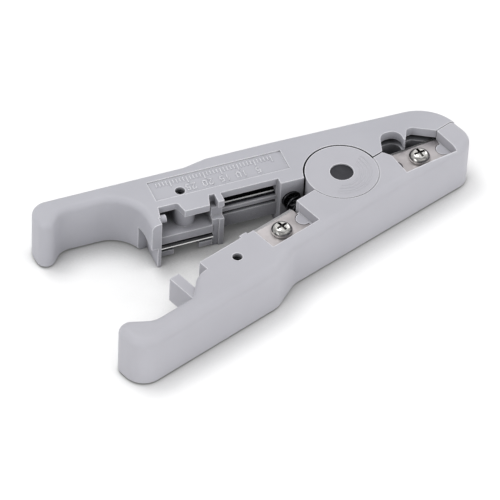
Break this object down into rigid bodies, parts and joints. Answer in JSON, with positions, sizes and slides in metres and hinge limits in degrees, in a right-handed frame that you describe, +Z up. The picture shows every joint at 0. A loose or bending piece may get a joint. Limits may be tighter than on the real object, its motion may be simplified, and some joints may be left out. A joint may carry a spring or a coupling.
{
  "type": "cable stripper",
  "caption": "Hand tool for network cable: two moulded arms on a pivot with a spring, a screwed cutter blade, flat cable bays and a notched jaw for round cable.",
  "frame": {"origin": "pivot axis, on the plane that the tool lies on; it lies on the lower end face of the pivot pin", "axes": "+X along the rear arm from the finger hook towards the jaws, +Y out of the rear arm's back, +Z up, out of the face that shows the pin head"},
  "size_m": [0.1262, 0.0622, 0.0165],
  "materials": {
    "body_plastic": "fine satin light grey moulding",
    "blade_steel": "ground razor steel, bevelled edge",
    "screw_steel": "bright zinc plated",
    "pin_steel": "dark satin oxide",
    "spring_wire": "black oiled wire",
    "socket_screw_steel": "black oxide"
  },
  "bodies": {
    "rear": {"rear_arm": "body_plastic", "pivot_pin": "pin_steel", "pivot_retainer": "pin_steel", "return_spring": "spring_wire", "rear_flat_blade": "blade_steel", "cutter_counter_blade": "blade_steel", "rear_depth_screw": "socket_screw_steel"},
    "front": {"front_arm": "body_plastic", "cutter_blade": "blade_steel", "cutter_blade_screw": "screw_steel", "round_cable_blade": "blade_steel", "round_blade_screw": "screw_steel", "front_flat_blade": "blade_steel", "front_depth_screw": "socket_screw_steel"}
  },
  "joints": [
    {"name": "handle_pivot", "type": "hinge", "parent": "rear", "child": "front", "pos_m": [0, 0, 0], "axis": [0, 0, 1], "range_deg": [-21, 0], "stiffness_Nm_per_rad": 0.3, "springref_deg": 25.78, "deforming": ["return_spring"]}
  ]
}
